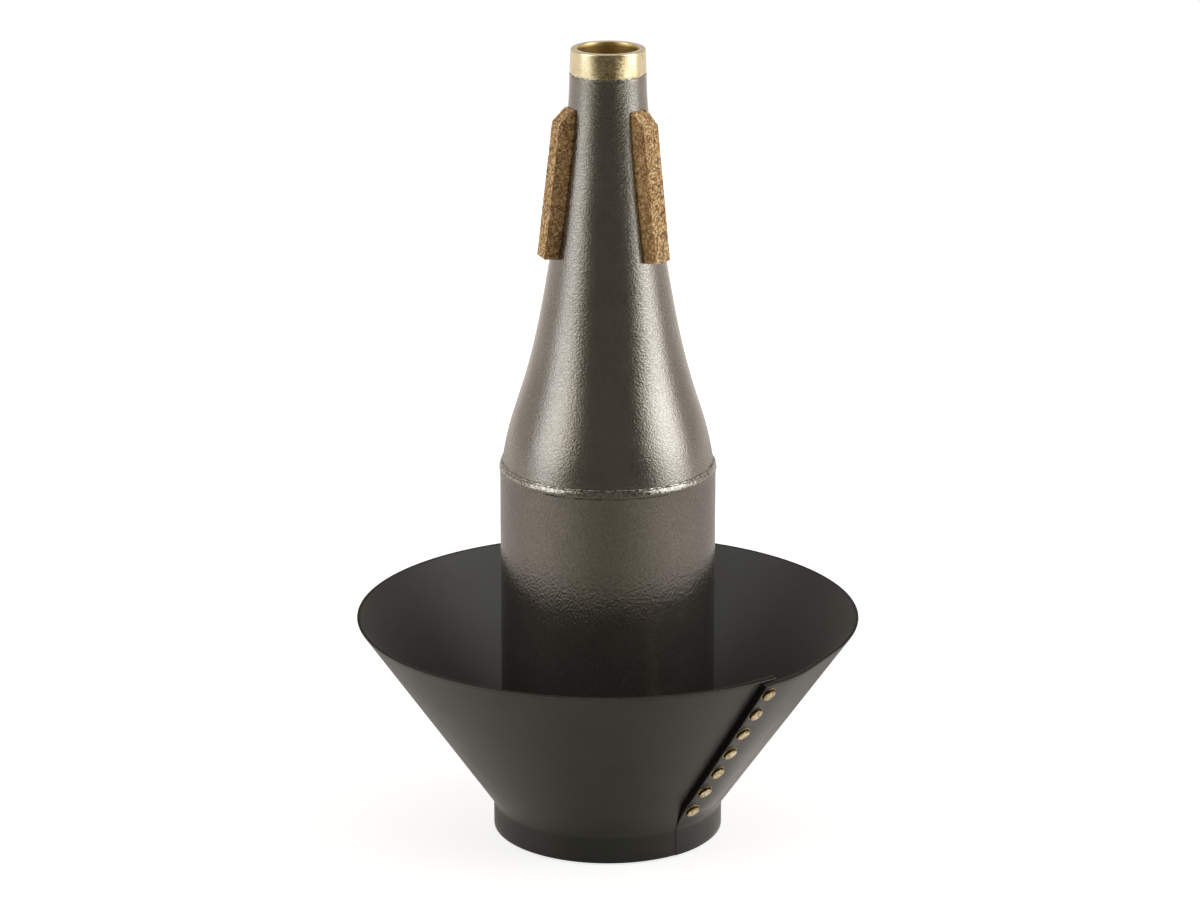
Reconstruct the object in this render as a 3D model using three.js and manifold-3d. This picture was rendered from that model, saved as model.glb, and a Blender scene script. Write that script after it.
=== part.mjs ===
// Trombone cup mute: a closed, bottle-shaped air chamber that three corks hold in the bell,
// with a riveted sheet cup that slides and turns on its barrel.
// Millimetres, +Z up. The origin is the centre of the foot, and the front faces -Y.
// Azimuths are counted from the front, positive to the right.

import * as THREE from 'three';
import { mergeVertices } from 'three/addons/utils/BufferGeometryUtils.js';
import Module from 'manifold-3d';

const wasm = await Module();
wasm.setup();

// Fits, shared by every piece
const clearance = 0.3;
const overrun = 1;

// Barrel: a straight can with a low bead round its top edge
const barrelRadius = 39.35;
const barrelHeight = 139.8;
const barrelWall = 1.2;
const beadRise = 0.3;
const beadHeight = 3.2;
const barrelEdgeRound = 0.9;

// Base cap: a pressed pan, flange upwards, flush with the barrel's foot
const capSheet = 1.2;
const capFlange = 8;
const capBend = 1.6;

// Shell: neck, slow taper, then an ogee that swells to the shoulder, with a skirt inside the barrel
const shellWall = 1;
const shoulderInset = 0.85;
const skirtLength = 12;
const ogeeLength = 54.9;
const waistRadius = 24.9;
const neckLength = 89.7;
const neckRadius = 13.7;
const waistSlopeShare = 0.198;
const shoulderSlopeShare = 0.147;
const neckHandleShare = 0.2;
const waistUpperHandleShare = 0.3;
const waistLowerHandleShare = 0.6;
const shoulderHandleShare = 0.39;

// Ferrule: a brass ring of U section over the open throat
const ferruleSheet = 0.5;
const ferruleBand = 9;
const ferruleCrown = 2;
const ferruleLip = 1.3;
const ferruleSleeve = 14;
const ferruleInset = 0.1;
const ferruleTaper = 0.2;

// Corks: strips with a flat outer face, a chamfered upper end and a foot cut square to the face
const corkCount = 3;
const corkAzimuth = THREE.MathUtils.degToRad(50);
const corkDrop = 11.7;
const corkLength = 54;
const corkWidth = 8;
const corkDepth = 5;
const corkChamfer = 5;
const corkLip = 0.8;

// Cup: one rolled sheet, cone above and collar below, closed by a lapped and riveted seam.
// The seam's edges and its rivets run parallel to the line up the cone at the seam's azimuth, to its left.
// Towards the collar the upper flap's edge is trimmed back in a curve
const cupRadius = 92.5;
const cupHeight = 82.2;
const cupSheet = 2;
const collarHeight = 10.5;
const creaseBend = 1.5;
const liningThickness = 0.5;
const liningInset = 0.7;
const liningButt = 2;
const seamAzimuth = THREE.MathUtils.degToRad(41.8);
const rivetLine = 6;
const flapMargin = 3.2;
const joggleGap = 1;
const joggleTurn = THREE.MathUtils.degToRad(19.3);
const trimTop = 12;
const trimRun = 14;
const collarFlapEdge = 1.9;

// Rivets: semi-tubular, low domed head outside, clinched tail inside
const rivetCount = 7;
const rivetFootInset = 14.8;
const rivetRimInset = 4.8;
const rivetShank = 1.5;
const rivetHead = 2.95;
const rivetEdge = 0.5;
const rivetDome = 0.6;
const rivetTail = 2.5;
const rivetClinch = 0.9;
const rivetPit = 0.9;
const rivetPitDepth = 2;

// Facets, as counts
const roundFacets = 56;
const throatFacets = 40;
const rivetFacets = 12;
const neckSteps = 5;
const ogeeSteps = 9;
const bendSteps = 3;
const lipSteps = 6;
const domeSteps = 3;
const joggleSteps = 4;
const trimSteps = 3;

// Heights of the stack, from the floor up
const shoulderZ = barrelHeight + clearance;
const waistZ = shoulderZ + ogeeLength;
const neckZ = waistZ + neckLength;
const ferruleFootZ = neckZ + clearance;
const topZ = ferruleFootZ + ferruleBand;

// Radii that follow from what fits in what
const barrelBore = barrelRadius - barrelWall;
const skirtRadius = barrelBore - clearance;
const shoulderRadius = barrelRadius - shoulderInset;
const ferruleFootRadius = neckRadius - ferruleInset;
const ferruleTopRadius = ferruleFootRadius - ferruleTaper;
const bandBore = ferruleTopRadius - ferruleSheet;
const spigotRadius = bandBore - clearance;
const spigotBore = spigotRadius - shellWall;
const sleeveRadius = spigotBore - clearance;
const throatRadius = sleeveRadius - ferruleSheet;
const liningBore = barrelRadius + clearance;
const liningRadius = liningBore + liningThickness;
const collarRadius = liningRadius + clearance + cupSheet;

// The cup's cone and the lift of the upper flap over the lower one
const flapLift = cupSheet + clearance;
const coneAngle = Math.atan2(cupRadius - collarRadius, cupHeight - collarHeight);
const coneLength = Math.hypot(cupRadius - collarRadius, cupHeight - collarHeight);

const finishes = {
  lacquer: { color: 0x4c4640, roughness: 0.35, metalness: 0.4 },
  brass: { color: 0xcdb86f, roughness: 0.25, metalness: 1 },
  cork: { color: 0xa97c48, roughness: 0.95, metalness: 0 },
  sheet: { color: 0x2f302c, roughness: 0.55, metalness: 0 },
  felt: { color: 0x26231f, roughness: 1, metalness: 0 },
};

// A named mesh with its own material
function piece(name, geometry, finish) {
  const mesh = new THREE.Mesh(geometry, new THREE.MeshStandardMaterial(finishes[finish]));
  mesh.name = name;
  return mesh;
}

// A place at a radius, azimuth and height
function place(radius, azimuth, height) {
  return new THREE.Vector3(radius * Math.sin(azimuth), -radius * Math.cos(azimuth), height);
}

// Points of an elliptical arc in the profile plane, angles from the outward direction
function arc(centreR, centreZ, spanR, spanZ, from, to, steps) {
  const points = [];
  for (let i = 0; i <= steps; i += 1) {
    const angle = from + (to - from) * i / steps;
    points.push(new THREE.Vector2(centreR + spanR * Math.cos(angle), centreZ + spanZ * Math.sin(angle)));
  }
  return points;
}

// A solid of revolution: the profile runs up its outer side, and closes on itself unless it ends on the axis
function revolve(profile, facets) {
  const first = profile[0];
  const points = first.x > 0 ? [...profile, first.clone()] : profile;
  return new THREE.LatheGeometry(points, facets).rotateX(Math.PI / 2);
}

function toSolid(geometry) {
  const bare = geometry.clone();
  bare.deleteAttribute('normal');
  bare.deleteAttribute('uv');
  const merged = mergeVertices(bare);
  const vertProperties = new Float32Array(merged.attributes.position.array);
  const triVerts = new Uint32Array(merged.index.array);
  return new wasm.Manifold(new wasm.Mesh({ numProp: 3, vertProperties, triVerts }));
}

function toGeometry(solid) {
  const mesh = solid.getMesh();
  const geometry = new THREE.BufferGeometry();
  geometry.setAttribute('position', new THREE.BufferAttribute(mesh.vertProperties, 3));
  geometry.setIndex(new THREE.BufferAttribute(mesh.triVerts, 1));
  geometry.computeVertexNormals();
  return geometry;
}

// The shell's outside from the shoulder up to the neck: two cubic curves that meet at the waist
function shellOutline() {
  const shoulder = new THREE.Vector2(shoulderRadius, shoulderZ);
  const waist = new THREE.Vector2(waistRadius, waistZ);
  const neck = new THREE.Vector2(neckRadius, neckZ);
  const waistWay = new THREE.Vector2(-waistSlopeShare, 1).normalize();
  const shoulderWay = new THREE.Vector2(-shoulderSlopeShare, 1).normalize();
  const ogee = new THREE.CubicBezierCurve(
    shoulder,
    shoulder.clone().addScaledVector(shoulderWay, shoulderHandleShare * ogeeLength),
    waist.clone().addScaledVector(waistWay, -waistLowerHandleShare * ogeeLength),
    waist,
  );
  const taper = new THREE.CubicBezierCurve(
    waist,
    waist.clone().addScaledVector(waistWay, waistUpperHandleShare * neckLength),
    new THREE.Vector2(neckRadius, neckZ - neckHandleShare * neckLength),
    neck,
  );
  return [...ogee.getPoints(ogeeSteps), ...taper.getPoints(neckSteps).slice(1)];
}

// The same outline moved square to itself, outwards where the distance is positive
function offsetOutline(outline, distance) {
  return outline.map((point, i) => {
    const before = outline[Math.max(i - 1, 0)];
    const after = outline[Math.min(i + 1, outline.length - 1)];
    const along = after.clone().sub(before).normalize();
    return new THREE.Vector2(point.x + along.y * distance, point.y - along.x * distance);
  });
}

// The shell's outer radius at a height
function shellRadiusAt(height) {
  const outline = shellOutline();
  const i = outline.findIndex((point) => point.y >= height);
  const low = outline[i - 1];
  const high = outline[i];
  return THREE.MathUtils.mapLinear(height, low.y, high.y, low.x, high.x);
}

function coneShell() {
  const outside = shellOutline();
  const spigotTop = topZ - ferruleCrown - clearance;
  const spigotFoot = neckZ - shellWall;
  const skirtFoot = shoulderZ - skirtLength;
  const inside = offsetOutline(outside, -shellWall)
    .filter((point) => point.y < spigotFoot - shellWall && point.y > shoulderZ + shellWall)
    .reverse();
  return revolve([
    new THREE.Vector2(skirtRadius, skirtFoot),
    new THREE.Vector2(skirtRadius, shoulderZ),
    ...outside,
    new THREE.Vector2(spigotRadius, neckZ),
    new THREE.Vector2(spigotRadius, spigotTop),
    new THREE.Vector2(spigotBore, spigotTop),
    new THREE.Vector2(spigotBore, spigotFoot),
    new THREE.Vector2(neckRadius - shellWall, spigotFoot - shellWall),
    ...inside,
    new THREE.Vector2(skirtRadius - shellWall, shoulderZ),
    new THREE.Vector2(skirtRadius - shellWall, skirtFoot),
  ], roundFacets);
}

function throatFerrule() {
  const crownFoot = topZ - ferruleCrown;
  const lipCentre = (ferruleTopRadius + throatRadius) / 2;
  const lipSpan = (ferruleTopRadius - throatRadius) / 2;
  return revolve([
    new THREE.Vector2(ferruleFootRadius, ferruleFootZ),
    ...arc(lipCentre, topZ - ferruleLip, lipSpan, ferruleLip, 0, Math.PI, lipSteps),
    new THREE.Vector2(throatRadius, topZ - ferruleSleeve),
    new THREE.Vector2(sleeveRadius, topZ - ferruleSleeve),
    new THREE.Vector2(sleeveRadius, crownFoot),
    new THREE.Vector2(bandBore, crownFoot),
    new THREE.Vector2(bandBore, ferruleFootZ),
  ], throatFacets);
}

function barrelSleeve() {
  const beadRadius = barrelRadius + beadRise;
  const edgeZ = barrelHeight - barrelEdgeRound;
  const edgeR = beadRadius - barrelEdgeRound;
  return revolve([
    new THREE.Vector2(barrelRadius, 0),
    new THREE.Vector2(barrelRadius, barrelHeight - beadHeight),
    new THREE.Vector2(beadRadius, barrelHeight - beadHeight + beadRise),
    ...arc(edgeR, edgeZ, barrelEdgeRound, barrelEdgeRound, 0, Math.PI / 2, bendSteps),
    new THREE.Vector2(barrelBore, barrelHeight),
    new THREE.Vector2(barrelBore, 0),
  ], roundFacets);
}

function baseCap() {
  const radius = barrelBore - clearance;
  const innerBend = Math.max(capBend - capSheet, 0);
  const bendR = radius - capBend;
  return revolve([
    new THREE.Vector2(0, 0),
    ...arc(bendR, capBend, capBend, capBend, -Math.PI / 2, 0, bendSteps),
    new THREE.Vector2(radius, capFlange),
    new THREE.Vector2(radius - capSheet, capFlange),
    new THREE.Vector2(radius - capSheet, capSheet + innerBend),
    new THREE.Vector2(radius - capSheet - innerBend, capSheet),
    new THREE.Vector2(0, capSheet),
  ], roundFacets);
}

// One cork in its own frame: radial +X, width along Y. Its inner face is cut to the shell
function corkStrip() {
  const topCorkZ = neckZ - corkDrop;
  const footCorkZ = topCorkZ - corkLength;
  const topR = shellRadiusAt(topCorkZ);
  const footR = shellRadiusAt(footCorkZ);
  const faceAt = (height) => corkDepth + THREE.MathUtils.mapLinear(height, footCorkZ, topCorkZ, footR, topR);
  const lean = (footR - topR) / corkLength;
  const footEdgeZ = footCorkZ + lean * corkDepth;
  const chamferZ = topCorkZ - corkChamfer;
  const side = new THREE.Shape([
    new THREE.Vector2(topR - corkDepth, footCorkZ - lean * (footR - topR + corkDepth)),
    new THREE.Vector2(faceAt(footEdgeZ), footEdgeZ),
    new THREE.Vector2(faceAt(chamferZ), chamferZ),
    new THREE.Vector2(topR + corkLip, topCorkZ),
    new THREE.Vector2(topR - corkDepth, topCorkZ),
  ]);
  const block = new THREE.ExtrudeGeometry(side, { depth: corkWidth, bevelEnabled: false })
    .translate(0, 0, -corkWidth / 2)
    .rotateX(Math.PI / 2);
  const seat = revolve([
    new THREE.Vector2(0, shoulderZ),
    ...offsetOutline(shellOutline(), clearance),
    new THREE.Vector2(neckRadius + clearance, topZ),
    new THREE.Vector2(0, topZ),
  ], roundFacets);
  return toGeometry(toSolid(block).subtract(toSolid(seat)));
}

function corks() {
  const strip = corkStrip();
  return Array.from({ length: corkCount }, (_, i) => {
    const cork = piece(`cork_pad_${i + 1}`, strip, 'cork');
    cork.rotation.z = corkAzimuth + i * 2 * Math.PI / corkCount - Math.PI / 2;
    return cork;
  });
}

// The sheet's outside from foot to rim, with the direction square to it at each point.
// The bend keeps its smallest radius where the upper flap is lifted.
function cupOutline() {
  const bend = creaseBend + flapLift;
  const bendZ = collarHeight - bend * Math.tan(coneAngle / 2);
  const outline = [{ radius: collarRadius, height: 0, slope: 0 }];
  for (let i = 0; i <= bendSteps; i += 1) {
    const slope = coneAngle * i / bendSteps;
    outline.push({
      radius: collarRadius + bend - bend * Math.cos(slope),
      height: bendZ + bend * Math.sin(slope),
      slope,
    });
  }
  for (let i = 1; i <= trimSteps; i += 1) {
    const way = trimTop * i / trimSteps;
    outline.push({
      radius: collarRadius + way * Math.sin(coneAngle),
      height: collarHeight + way * Math.cos(coneAngle),
      slope: coneAngle,
    });
  }
  outline.push({ radius: cupRadius, height: cupHeight, slope: coneAngle });
  return outline;
}

// How far the upper flap's edge lies from the line of the rivets, at a height of the sheet
function flapEdgeAt(height) {
  const way = (height - collarHeight) / Math.cos(coneAngle);
  const share = THREE.MathUtils.clamp((trimTop - way) / trimRun, 0, 1);
  return THREE.MathUtils.lerp(-flapMargin, collarFlapEdge, share * share);
}

// Stations round the cup, from the lower flap's edge leftwards round the back to the upper flap's edge.
// Each has an azimuth at a radius and height, and a share of the flap's lift.
function cupStations() {
  const stations = [flapMargin, 0, -flapMargin].map((side) => ({
    azimuthAt: (radius) => seamAzimuth + (side - rivetLine) / radius,
    liftShare: 0,
  }));
  const facet = 2 * Math.PI / roundFacets;
  const start = seamAzimuth - (rivetLine + flapMargin) / collarRadius - facet / 4;
  const end = seamAzimuth + joggleTurn - 2 * Math.PI;
  for (let i = Math.floor(start / facet); i * facet > end + facet / 4; i -= 1) {
    stations.push({ azimuthAt: () => i * facet, liftShare: 0 });
  }
  for (let i = 0; i <= joggleSteps; i += 1) {
    const share = i / joggleSteps;
    const closeTo = (radius) => end - joggleTurn + (flapMargin + joggleGap - rivetLine) / radius;
    stations.push({
      azimuthAt: (radius) => THREE.MathUtils.lerp(end, closeTo(radius), share),
      liftShare: THREE.MathUtils.smoothstep(share, 0, 1),
    });
  }
  [0.6, 1].forEach((share) => stations.push({
    azimuthAt: (radius, height) => {
      const side = THREE.MathUtils.lerp(flapMargin + joggleGap, flapEdgeAt(height), share);
      return end - joggleTurn + (side - rivetLine) / radius;
    },
    liftShare: 1,
  }));
  return stations;
}

// One section of the sheet as a closed loop: up the outside, then down the inside
function sheetSection(outline, station) {
  const lift = station.liftShare * flapLift;
  const at = ({ radius, height, slope }, offset) => {
    const r = radius + offset * Math.cos(slope);
    return place(r, station.azimuthAt(r, height), height - offset * Math.sin(slope));
  };
  const outside = outline.map((point) => at(point, lift));
  const inside = outline.map((point) => at(point, lift - cupSheet)).reverse();
  return [...outside, ...inside];
}

// A closed body through loops of equal length, capped at both ends like a strip
function loft(loops) {
  const count = loops[0].length;
  const half = count / 2;
  const positions = loops.flat().flatMap((point) => point.toArray());
  const indices = [];
  for (let s = 0; s + 1 < loops.length; s += 1) {
    for (let i = 0; i < count; i += 1) {
      const a = s * count + i;
      const b = s * count + (i + 1) % count;
      indices.push(a, b, b + count, a, b + count, a + count);
    }
  }
  const last = (loops.length - 1) * count;
  for (let i = 0; i + 1 < half; i += 1) {
    const j = count - 1 - i;
    indices.push(i, j, j - 1, i, j - 1, i + 1);
    indices.push(last + i, last + j - 1, last + j, last + i, last + i + 1, last + j - 1);
  }
  const geometry = new THREE.BufferGeometry();
  geometry.setAttribute('position', new THREE.Float32BufferAttribute(positions, 3));
  geometry.setIndex(indices);
  return geometry;
}

// The frame of each rivet: origin on the upper flap's outside, +Z square to the sheet
function rivetFrames() {
  const pitch = (coneLength - rivetFootInset - rivetRimInset) / (rivetCount - 1);
  return Array.from({ length: rivetCount }, (_, i) => {
    const way = rivetFootInset + i * pitch;
    const radius = collarRadius + way * Math.sin(coneAngle);
    const height = collarHeight + way * Math.cos(coneAngle);
    const azimuth = seamAzimuth - rivetLine / (radius + flapLift * Math.cos(coneAngle));
    const out = place(Math.cos(coneAngle), azimuth, -Math.sin(coneAngle));
    const across = place(1, azimuth + Math.PI / 2, 0);
    const along = new THREE.Vector3().crossVectors(out, across);
    const origin = place(radius, azimuth, height).addScaledVector(out, flapLift);
    return new THREE.Matrix4().makeBasis(across, along, out).setPosition(origin);
  });
}

function cupSheetBody() {
  const outline = cupOutline();
  const sheet = loft(cupStations().map((station) => sheetSection(outline, station)));
  const depth = 2 * (flapLift + cupSheet) + overrun;
  const drill = new THREE.CylinderGeometry(
    rivetShank + clearance,
    rivetShank + clearance,
    depth,
    rivetFacets,
  ).rotateX(Math.PI / 2);
  const drilled = rivetFrames().reduce(
    (solid, frame) => solid.subtract(toSolid(drill.clone().applyMatrix4(frame))),
    toSolid(sheet),
  );
  return toGeometry(drilled);
}

// A thin felt strip round the barrel, its two ends butted at the back with a small gap
function collarLining() {
  const halfButt = liningButt / liningBore / 2;
  const from = Math.PI / 2 + halfButt;
  const to = from + 2 * Math.PI - 2 * halfButt;
  const strip = new THREE.Shape();
  strip.absarc(0, 0, liningRadius, from, to, false);
  strip.absarc(0, 0, liningBore, to, from, true);
  const settings = { depth: collarHeight - 2 * liningInset, bevelEnabled: false, curveSegments: roundFacets };
  return new THREE.ExtrudeGeometry(strip, settings).translate(0, 0, liningInset);
}

function rivetBody() {
  const headZ = clearance;
  const tailZ = -(flapLift + cupSheet + clearance);
  const endZ = tailZ - rivetClinch;
  const roll = rivetClinch / 2;
  return revolve([
    new THREE.Vector2(0, endZ + rivetPitDepth),
    new THREE.Vector2(rivetPit, endZ + rivetPitDepth),
    new THREE.Vector2(rivetPit, endZ),
    ...arc(rivetTail - roll, tailZ - roll, roll, roll, -Math.PI / 2, Math.PI / 2, domeSteps),
    new THREE.Vector2(rivetShank, tailZ),
    new THREE.Vector2(rivetShank, headZ),
    new THREE.Vector2(rivetHead, headZ),
    ...arc(0, headZ + rivetEdge, rivetHead, rivetDome, 0, Math.PI / 2, domeSteps).slice(0, -1),
    new THREE.Vector2(0, headZ + rivetEdge + rivetDome),
  ], rivetFacets);
}

function rivets() {
  const body = rivetBody();
  return rivetFrames().map((frame, i) => {
    const rivet = piece(`cup_rivet_${i + 1}`, body, 'brass');
    frame.decompose(rivet.position, rivet.quaternion, rivet.scale);
    return rivet;
  });
}

const mute = new THREE.Group();
mute.add(
  piece('throat_ferrule', throatFerrule(), 'brass'),
  piece('cone_shell', coneShell(), 'lacquer'),
  piece('barrel_sleeve', barrelSleeve(), 'lacquer'),
  piece('base_cap', baseCap(), 'lacquer'),
  ...corks(),
  piece('cup_sheet', cupSheetBody(), 'sheet'),
  piece('collar_lining', collarLining(), 'felt'),
  ...rivets(),
);

export default mute;
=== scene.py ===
"""The looks of the trombone cup mute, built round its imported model.

Sizes are in millimetres and become metres where a mesh is made. +Z is up, the front faces -Y, and
azimuths are counted from the front, positive to the right.
"""

import math

import bmesh
import bpy
from mathutils import Matrix, Vector, geometry, noise


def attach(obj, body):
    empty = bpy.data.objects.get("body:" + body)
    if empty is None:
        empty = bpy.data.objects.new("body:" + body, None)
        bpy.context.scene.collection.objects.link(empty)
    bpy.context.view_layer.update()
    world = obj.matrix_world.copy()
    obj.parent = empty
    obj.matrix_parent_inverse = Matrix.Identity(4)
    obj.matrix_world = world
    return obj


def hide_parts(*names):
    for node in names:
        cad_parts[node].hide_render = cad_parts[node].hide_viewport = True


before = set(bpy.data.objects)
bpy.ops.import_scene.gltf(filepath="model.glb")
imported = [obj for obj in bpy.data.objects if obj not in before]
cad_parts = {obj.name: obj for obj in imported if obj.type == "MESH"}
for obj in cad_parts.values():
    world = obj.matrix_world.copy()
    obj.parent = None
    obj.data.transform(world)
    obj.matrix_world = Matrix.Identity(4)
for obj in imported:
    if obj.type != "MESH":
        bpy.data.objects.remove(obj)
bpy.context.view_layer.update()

MM = 0.001
SHARP_ANGLE = math.radians(38)
CLEARANCE = 0.3

# Barrel, with a bead round its top edge
BARREL_RADIUS = 39.35
BARREL_HEIGHT = 141.1
BARREL_WALL = 1.2
BARREL_FOOT_ROUND = 0.4
BARREL_ROWS = 40
BEAD_RISE = 0.3
BEAD_HEIGHT = 3.4
BEAD_DEPTH = 1.1
BEAD_EASE = 0.06
BEAD_START = 0.35
BEAD_FULL = 0.8
BEAD_ROUND = 1.2
BEAD_RUN = 1.8

# Base cap, a pressed pan with a stiffening groove
CAP_SHEET = 1.2
CAP_FLANGE = 8
CAP_BEND = 1.6
CAP_AIR = 0.1
CAP_GROOVE_RADIUS = 27
CAP_GROOVE_WIDTH = 4
CAP_GROOVE_DEPTH = 0.9
CAP_GROOVE_ROUND = 0.8

# Shell: skirt, ogee and taper
SHELL_WALL = 1
SHELL_FADE = 6
SHOULDER_RADIUS = 38.5
OGEE_LENGTH = 53.6
WAIST_RADIUS = 24.9
NECK_LENGTH = 89.7
NECK_RADIUS = 13.7
NECK_ROUND = 0.4
SKIRT_RADIUS = 37.85
SKIRT_LENGTH = 12
WAIST_SLOPE = 0.198
SHOULDER_SLOPE = 0.147
NECK_HANDLE = 0.2
WAIST_UPPER_HANDLE = 0.3
WAIST_LOWER_HANDLE = 0.6
SHOULDER_HANDLE = 0.39
SPIGOT_RADIUS = 12.6
SHOULDER_Z = BARREL_HEIGHT + CLEARANCE
WAIST_Z = SHOULDER_Z + OGEE_LENGTH
NECK_Z = WAIST_Z + NECK_LENGTH

# Ferrule
FERRULE_FOOT_Z = NECK_Z + 0.05
FERRULE_TOP_Z = NECK_Z + 9.3
FERRULE_SHEET = 0.5
FERRULE_FOOT_RADIUS = 13.62
FERRULE_TOP_RADIUS = 13.4
FERRULE_FOOT_ROUND = 0.2
FERRULE_OUTER_ROUND = 0.85
FERRULE_INNER_ROUND = 0.75
FERRULE_INNER_DROP = 1.5
FERRULE_SLEEVE = 14
FERRULE_SLEEVE_RADIUS = 11.3
FERRULE_CROWN = 2
FERRULE_LIP = 0.7

# Ferrule's finish: radii of the dull bore's edge, and distances in front of the axis of the
# painted dark reflection
BORE_OUTER = 11.2
BORE_INNER = 10.9
PAINTED_REFLECTION_START = 11.8
PAINTED_REFLECTION_FULL = 13.3

# Corks
CORK_AZIMUTHS = (50, 170, 290)
CORK_TOP_Z = NECK_Z - 11.7
CORK_LENGTH = 54
CORK_WIDTH = 8
CORK_DEPTH = 5
CORK_CHAMFER = 5
CORK_LIP = 0.5
CORK_EDGE = 0.2
CORK_GRID = 0.5
CORK_SINK = 0.1
CORK_GRANULE = 1.15
CORK_GRAIN_DEPTH = 0.05
CORK_CHUNK_DEPTH = 0.03
CORK_PORE_DEPTH = 0.16

# Cup: one rolled sheet, with a collar and a cone
CUP_RADIUS = 92.5
CUP_HEIGHT = 82.2
CUP_SHEET = 2
COLLAR_RADIUS = 42.45
COLLAR_HEIGHT = 10.5
CREASE_BEND = 3.8
CUP_EDGE_ROUND = 0.25
RIM_SHEET = 1.3
RIM_THINNING = 25
RIM_CUT = 0.5
CONE_ANGLE = math.atan2(CUP_RADIUS - COLLAR_RADIUS, CUP_HEIGHT - COLLAR_HEIGHT)
CONE_LENGTH = math.hypot(CUP_RADIUS - COLLAR_RADIUS, CUP_HEIGHT - COLLAR_HEIGHT)

# The cup's seam: an upper flap that steps over the lower one in a joggle
SEAM = math.radians(41.8)
SEAM_SPREAD = math.radians(20)
JOGGLE_GAP = 1
JOGGLE_TURN = math.radians(19.3)
FLAP_LIFT = 2.3
FLAP_MARGIN = 3.2
FLAP_FREE_FROM = 0.15
FLAP_CURL = 0.3
CURL_FOOT = 10
CURL_RUN = 60
CURL_AT_RIVETS = 0.7
TRIM_TOP = 15.5
TRIM_RUN = 15.5
SKIVE_ROOT = 14
SKIVE_EDGE = 20
COLLAR_LIFT = 0.28
COLLAR_GAP = -0.5
COLLAR_FLAP_EDGE = 1.5

# The cup's mesh: rows from foot to rim, and cells round it from flap to flap
COLLAR_ROWS = 4
CREASE_ROWS = 8
CONE_ROWS = 48
LOWER_FLAP_CELLS = 8
EASE_CELLS = 6
ROUND_CELLS = 150
JOGGLE_CELLS = 14
UPPER_FLAP_CELLS = 12

# The cup's materials: their places in its list, the painted shadow beside the seam's upper flap,
# and the collar's painted shade
SHEET_FACE = 0
CUT_EDGE = 1
ARRIS = 2
SHADOW_FOOT_WIDTH = 0.1
SHADOW_WIDTH = 1
SHADOW_RUN = 18
COLLAR_PAINTED_SHADE = 0.55

# Lining
LINING_RADIUS = 40.15
LINING_THICKNESS = 0.5
LINING_HEIGHT = 9.1
LINING_FOOT = 0.7
LINING_BUTT = 2

# Rivets
RIVET_COUNT = 7
RIVET_LINE = 6
RIVET_FOOT_INSET = 14.8
RIVET_RIM_INSET = 4.8
RIVET_PITCH = (CONE_LENGTH - RIVET_FOOT_INSET - RIVET_RIM_INSET) / (RIVET_COUNT - 1)
RIVET_LEAN = 3
RIVET_SHANK = 1.5
RIVET_FLANGE = 2.95
RIVET_FLANGE_EDGE = 0.16
RIVET_FLANGE_TOP = 0.28
RIVET_FILLET = 0.12
RIVET_HEAD = 2.5
RIVET_EDGE = 1.1
RIVET_ROUND = 0.2
RIVET_DOME = 0.25
RIVET_TAIL = 2.5
RIVET_CLINCH = 0.9
RIVET_PIT = 0.9
RIVET_PIT_DEPTH = 2
RIVET_SEED = 20

# Studio: strengths of light, and places of the side panels in degrees
WHITE = (1, 1, 1)
FRONT_TINT = (1, 0.925, 0.745)
SIDE_TINT = (1, 0.915, 0.85)
FRONT_LEVEL = 0.14
SIDE_LEVEL = 0.57
LOW_SIDE_LEVEL = 0.8
TOP_LEVEL = 0.4
PANEL_LEVEL = 2.15
PANEL_FOOT_LEVEL = 1.12
PANEL_RIGHT_GAIN = 0.45
PANEL_INNER = 31
PANEL_FOOT_INNER = 43
PANEL_INNER_FADE = 32
PANEL_OUTER = 101
PANEL_OUTER_FADE = 22
PANEL_TOP = 58
PANEL_TOP_FADE = 20
RIGHT_INNER_SHIFT = 7
RIGHT_OUTER_SHIFT = 6
LOW_SPREAD = 22
LOW_SPREAD_RIGHT = 14
LOW_FADE = 16
FAR_SIDE_GAIN = 0.41
CLOSE_FRONT_GAIN = 0.08
CLOSE_RIGHT_GAIN = 0.28

# Floor and camera, with places in metres
FLOOR_RADIUS = 1.25
FLOOR_DROP = 0.0006
FLOOR_GLOW = 0.72
CAMERA_PLACE = (-0.00286, -1.4693, 0.5902)
CAMERA_DIP = 16.86
CAMERA_LENS = 126.3


# Shapes

def place(radius, azimuth, height):
    """A point in metres from a radius, azimuth and height in millimetres."""
    return Vector((radius * math.sin(azimuth), -radius * math.cos(azimuth), height)) * MM


def smooth(share):
    """A smooth step from 0 to 1."""
    share = min(max(share, 0), 1)
    return share * share * (3 - 2 * share)


def between(low, high, share):
    return low + (high - low) * share


def arc(centre, span, start, stop, steps):
    """Points of an elliptical arc in a profile, with its angles in degrees from outward."""
    points = []
    for i in range(steps + 1):
        angle = math.radians(between(start, stop, i / steps))
        points.append((centre[0] + span[0] * math.cos(angle), centre[1] + span[1] * math.sin(angle)))
    return points


def line(start, stop, steps):
    """Points of a straight stretch of a profile, without its last one."""
    shares = [i / steps for i in range(steps)]
    return [(between(start[0], stop[0], share), between(start[1], stop[1], share)) for share in shares]


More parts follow.
